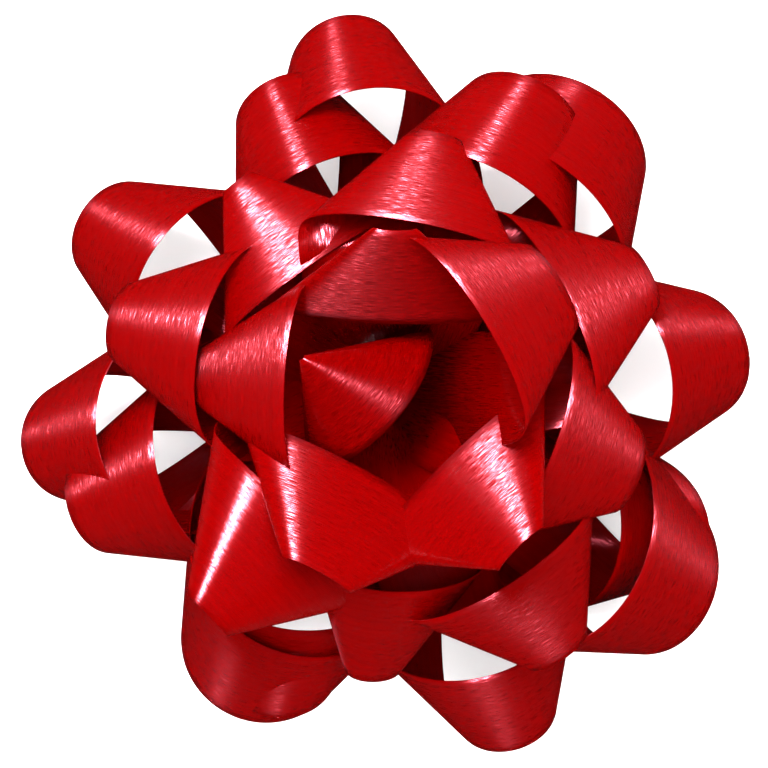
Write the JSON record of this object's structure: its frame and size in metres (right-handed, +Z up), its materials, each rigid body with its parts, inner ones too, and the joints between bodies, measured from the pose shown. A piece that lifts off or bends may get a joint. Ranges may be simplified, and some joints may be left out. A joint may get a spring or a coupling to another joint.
{
  "type": "gift bow",
  "caption": "Ready-made star gift bow wound from one glossy red ribbon, stapled to a card disc with a peel-and-stick foam pad and its release liner.",
  "frame": {"origin": "middle of the base, on the surface the bow rests on", "axes": "+Z up through the staple, +Y towards the top of the bow as it is seen from above, +X to the right"},
  "size_m": [0.1118, 0.1135, 0.0625],
  "materials": {
    "ribbon": "satin",
    "staple_wire": "bright",
    "card": "uncoated chipboard",
    "foam": "closed-cell foam tape",
    "liner_paper": "slick coated paper"
  },
  "bodies": {
    "bow": {"adhesive_pad": "foam", "card_disc": "card", "wire_staple": "staple_wire", "loop_1": "ribbon", "loop_2": "ribbon", "loop_3": "ribbon", "loop_4": "ribbon", "loop_5": "ribbon", "loop_6": "ribbon", "loop_7": "ribbon", "loop_8": "ribbon", "loop_9": "ribbon", "loop_10": "ribbon", "loop_11": "ribbon", "loop_12": "ribbon", "loop_13": "ribbon", "loop_14": "ribbon", "loop_15": "ribbon", "loop_16": "ribbon", "loop_17": "ribbon", "loop_18": "ribbon", "loop_19": "ribbon", "loop_20": "ribbon", "loop_21": "ribbon", "loop_22": "ribbon", "loop_23": "ribbon", "loop_24": "ribbon", "loop_25": "ribbon", "loop_26": "ribbon", "loop_27": "ribbon"},
    "liner": {"release_liner": "liner_paper"}
  },
  "joints": [
    {"name": "liner_peel", "type": "hinge", "parent": "bow", "child": "liner", "pos_m": [-0.0135, 0, 0.0002], "axis": [0, 1, 0], "range_deg": [0, 100]}
  ]
}
